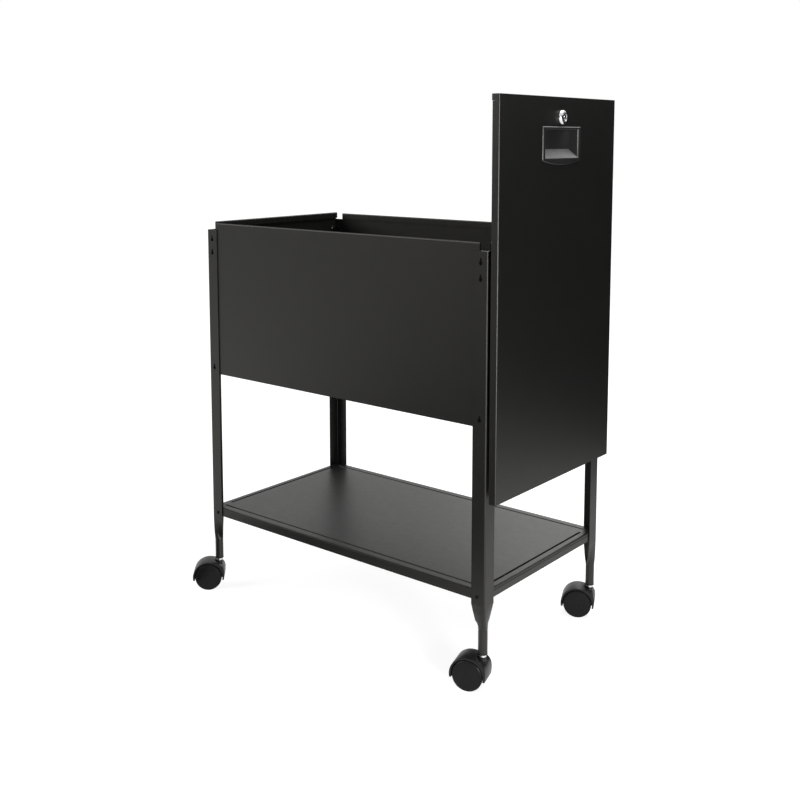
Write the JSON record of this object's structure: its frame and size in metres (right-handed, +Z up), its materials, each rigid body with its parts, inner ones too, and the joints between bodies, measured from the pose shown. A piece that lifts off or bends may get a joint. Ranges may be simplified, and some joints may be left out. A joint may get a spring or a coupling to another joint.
{
  "type": "mobile tub file cart",
  "caption": "Black steel tub-file cart on swivel casters: open tub for hanging folders above a pressed shelf, with a locking lid parked upright at one end that draws up and turns over it.",
  "frame": {"origin": "centre of the whole box's bottom face, on the floor under the wheels", "axes": "+X along the tub towards the parked lid, +Y to the back long side, +Z up"},
  "size_m": [0.7024, 0.4086, 0.9301],
  "materials": {
    "black_steel": "satin powder coat",
    "black_plastic": "satin",
    "wheel_plastic": "satin",
    "nylon": "natural",
    "chrome": "polished",
    "zinc_steel": "zinc plated"
  },
  "bodies": {
    "frame": {"caster_socket_back_latch": "black_plastic", "caster_socket_back_lid": "black_plastic", "caster_socket_front_latch": "black_plastic", "caster_socket_front_lid": "black_plastic", "folder_rail_back": "black_steel", "folder_rail_front": "black_steel", "leg_back_latch": "black_steel", "leg_back_lid": "black_steel", "leg_front_latch": "black_steel", "leg_front_lid": "black_steel", "panel_back": "black_steel", "panel_front": "black_steel", "panel_latch_end": "black_steel", "panel_lid_end": "black_steel", "pivot_bracket_back": "black_steel", "pivot_bracket_front": "black_steel", "pivot_pin_back": "zinc_steel", "pivot_pin_front": "zinc_steel", "shelf": "black_steel", "tub_floor": "black_steel"},
    "guide_carriage": {"guide_arm_front": "nylon", "guide_arm_back": "nylon"},
    "lid": {"lid": "black_steel", "lid_lip": "black_steel", "lid_channel_front": "black_steel", "lid_channel_back": "black_steel", "handle_cup": "black_plastic", "lock_housing": "chrome", "lock_nut": "zinc_steel"},
    "lock_core": {"lock_plug": "chrome", "lock_cam": "zinc_steel"},
    "caster_front_latch": {"caster_hood_front_latch": "black_plastic", "caster_stem_front_latch": "zinc_steel", "caster_axle_front_latch": "zinc_steel"},
    "wheel_front_latch_near": {"wheel_front_latch_near": "wheel_plastic"},
    "wheel_front_latch_far": {"wheel_front_latch_far": "wheel_plastic"},
    "caster_front_lid": {"caster_hood_front_lid": "black_plastic", "caster_stem_front_lid": "zinc_steel", "caster_axle_front_lid": "zinc_steel"},
    "wheel_front_lid_near": {"wheel_front_lid_near": "wheel_plastic"},
    "wheel_front_lid_far": {"wheel_front_lid_far": "wheel_plastic"},
    "caster_back_latch": {"caster_hood_back_latch": "black_plastic", "caster_stem_back_latch": "zinc_steel", "caster_axle_back_latch": "zinc_steel"},
    "wheel_back_latch_near": {"wheel_back_latch_near": "wheel_plastic"},
    "wheel_back_latch_far": {"wheel_back_latch_far": "wheel_plastic"},
    "caster_back_lid": {"caster_hood_back_lid": "black_plastic", "caster_stem_back_lid": "zinc_steel", "caster_axle_back_lid": "zinc_steel"},
    "wheel_back_lid_near": {"wheel_back_lid_near": "wheel_plastic"},
    "wheel_back_lid_far": {"wheel_back_lid_far": "wheel_plastic"}
  },
  "joints": [
    {"name": "lid_turn", "type": "hinge", "parent": "frame", "child": "guide_carriage", "pos_m": [0.33098, 0.01374, 0.69638], "axis": [0, -1, 0], "range_deg": [0, 90]},
    {"name": "lid_slide", "type": "slide", "parent": "guide_carriage", "child": "lid", "axis": [0, 0, 1], "range_m": [0, 0.3974]},
    {"name": "lock_turn", "type": "hinge", "parent": "lid", "child": "lock_core", "pos_m": [0.34518, 0.01374, 0.89808], "axis": [1, 0, 0], "range_deg": [0, 90]},
    {"name": "swivel_front_latch", "type": "hinge", "parent": "frame", "child": "caster_front_latch", "pos_m": [-0.29942, -0.15666, 0.0605], "axis": [0, 0, 1], "continuous": true},
    {"name": "roll_front_latch_near", "type": "hinge", "parent": "caster_front_latch", "child": "wheel_front_latch_near", "pos_m": [-0.31423, -0.17097, 0.02518], "axis": [-0.6947, 0.7193, 0], "continuous": true},
    {"name": "roll_front_latch_far", "type": "hinge", "parent": "caster_front_latch", "child": "wheel_front_latch_far", "pos_m": [-0.31423, -0.17097, 0.02518], "axis": [-0.6947, 0.7193, 0], "continuous": true},
    {"name": "swivel_front_lid", "type": "hinge", "parent": "frame", "child": "caster_front_lid", "pos_m": [0.31938, -0.15666, 0.0605], "axis": [0, 0, 1], "continuous": true},
    {"name": "roll_front_lid_near", "type": "hinge", "parent": "caster_front_lid", "child": "wheel_front_lid_near", "pos_m": [0.29968, -0.16268, 0.02518], "axis": [-0.2924, 0.9563, 0], "continuous": true},
    {"name": "roll_front_lid_far", "type": "hinge", "parent": "caster_front_lid", "child": "wheel_front_lid_far", "pos_m": [0.29968, -0.16268, 0.02518], "axis": [-0.2924, 0.9563, 0], "continuous": true},
    {"name": "swivel_back_latch", "type": "hinge", "parent": "frame", "child": "caster_back_latch", "pos_m": [-0.29942, 0.18414, 0.0605], "axis": [0, 0, 1], "continuous": true},
    {"name": "roll_back_latch_near", "type": "hinge", "parent": "caster_back_latch", "child": "wheel_back_latch_near", "pos_m": [-0.31669, 0.17292, 0.02518], "axis": [-0.5446, 0.8387, 0], "continuous": true},
    {"name": "roll_back_latch_far", "type": "hinge", "parent": "caster_back_latch", "child": "wheel_back_latch_far", "pos_m": [-0.31669, 0.17292, 0.02518], "axis": [-0.5446, 0.8387, 0], "continuous": true},
    {"name": "swivel_back_lid", "type": "hinge", "parent": "frame", "child": "caster_back_lid", "pos_m": [0.31938, 0.18414, 0.0605], "axis": [0, 0, 1], "continuous": true},
    {"name": "roll_back_lid_near", "type": "hinge", "parent": "caster_back_lid", "child": "wheel_back_lid_near", "pos_m": [0.30071, 0.17544, 0.02518], "axis": [-0.4226, 0.9063, 0], "continuous": true},
    {"name": "roll_back_lid_far", "type": "hinge", "parent": "caster_back_lid", "child": "wheel_back_lid_far", "pos_m": [0.30071, 0.17544, 0.02518], "axis": [-0.4226, 0.9063, 0], "continuous": true}
  ],
  "couplings": [
    {"joint": "lid_slide", "follows": "lid_turn", "m_per_rad": 0.25293}
  ]
}
